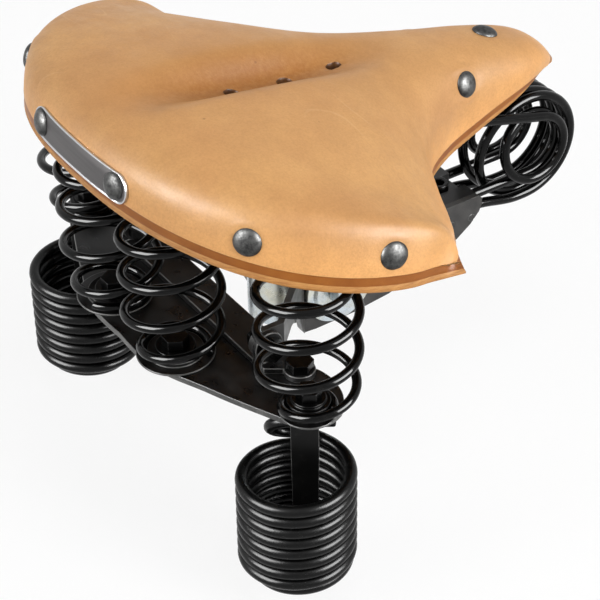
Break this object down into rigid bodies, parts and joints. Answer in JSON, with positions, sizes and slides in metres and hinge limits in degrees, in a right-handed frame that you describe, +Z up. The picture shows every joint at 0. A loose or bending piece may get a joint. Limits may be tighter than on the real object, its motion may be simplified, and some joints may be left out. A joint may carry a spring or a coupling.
{
  "type": "bicycle saddle",
  "caption": "Leather bicycle saddle on sprung steel: cone-ended compression springs, tension coils at the rear, looped wires at the nose and a clamp for a plain seat post.",
  "frame": {"origin": "centre of the seat-post bore, half way up the band", "axes": "+X to the rider's right, +Y forward to the nose, +Z up along the seat post"},
  "size_m": [0.248, 0.2689, 0.2039],
  "materials": {
    "hide": "satin",
    "rivet": "polished",
    "badge": "satin",
    "spring_black": "gloss",
    "plate_black": "satin",
    "plate_grey": "satin",
    "fastener_black": "satin",
    "stem_black": "satin",
    "zinc": "satin"
  },
  "bodies": {
    "clamp": {"post_band": "zinc", "clamp_bolt": "zinc", "clamp_nuts": "zinc", "clamp_caps": "zinc"},
    "frame": {"side_plate_left": "plate_grey", "side_plate_right": "plate_grey", "cross_bar": "plate_black", "ear_bolts": "fastener_black", "ear_nuts": "fastener_black", "guide_bolts": "fastener_black", "guide_nuts": "fastener_black", "hanger_arm_left": "plate_black", "hanger_arm_right": "plate_black", "rail_saddle": "plate_black", "rail_cap": "plate_black", "rail_bolt": "fastener_black", "rail_nut": "fastener_black", "bridge_pins": "fastener_black", "wire_outer_left": "spring_black", "wire_outer_right": "spring_black", "wire_inner_left": "spring_black", "wire_inner_right": "spring_black", "tension_coil_left": "spring_black", "tension_coil_right": "spring_black"},
    "carrier": {"crescent_plate": "plate_black", "spring_seats": "plate_black", "stem_bar_left": "stem_black", "stem_bar_right": "stem_black", "stem_washers": "fastener_black", "stem_bolts": "fastener_black", "seat_washers": "fastener_black", "seat_bolts": "fastener_black", "seat_nuts": "fastener_black", "spring_inner_left": "spring_black", "spring_inner_right": "spring_black", "spring_outer_left": "spring_black", "spring_outer_right": "spring_black"},
    "seat": {"leather_top": "hide", "cantle_plate": "plate_black", "cantle_rim": "plate_black", "eye_washers": "fastener_black", "eye_bolts": "fastener_black", "eye_nuts": "fastener_black", "nose_plate": "plate_black", "nose_clamp": "plate_black", "nose_screws": "fastener_black", "badge_plate": "badge", "badge_rivets": "rivet", "rear_rivets": "rivet", "corner_rivets": "rivet", "nose_rivets": "rivet", "rivet_burrs": "rivet"}
  },
  "joints": [
    {"name": "tilt", "type": "hinge", "parent": "clamp", "child": "frame", "pos_m": [0, 0.02, 0.003], "axis": [1, 0, 0], "range_deg": [-12, 12]},
    {"name": "seat_rock", "type": "hinge", "parent": "frame", "child": "seat", "pos_m": [0, 0.118, 0.07], "axis": [1, 0, 0], "range_deg": [0, 6], "stiffness_Nm_per_rad": 1700, "springref_deg": -1.15, "deforming": ["spring_inner_left", "spring_inner_right", "spring_outer_left", "spring_outer_right", "wire_outer_left", "wire_outer_right", "wire_inner_left", "wire_inner_right"]},
    {"name": "carrier_slide", "type": "slide", "parent": "frame", "child": "carrier", "axis": [0, 0, -1], "range_m": [0, 0.0035], "deforming": ["tension_coil_left", "tension_coil_right"]}
  ],
  "couplings": [
    {"joint": "carrier_slide", "follows": "seat_rock", "m_per_rad": 0.03342}
  ]
}
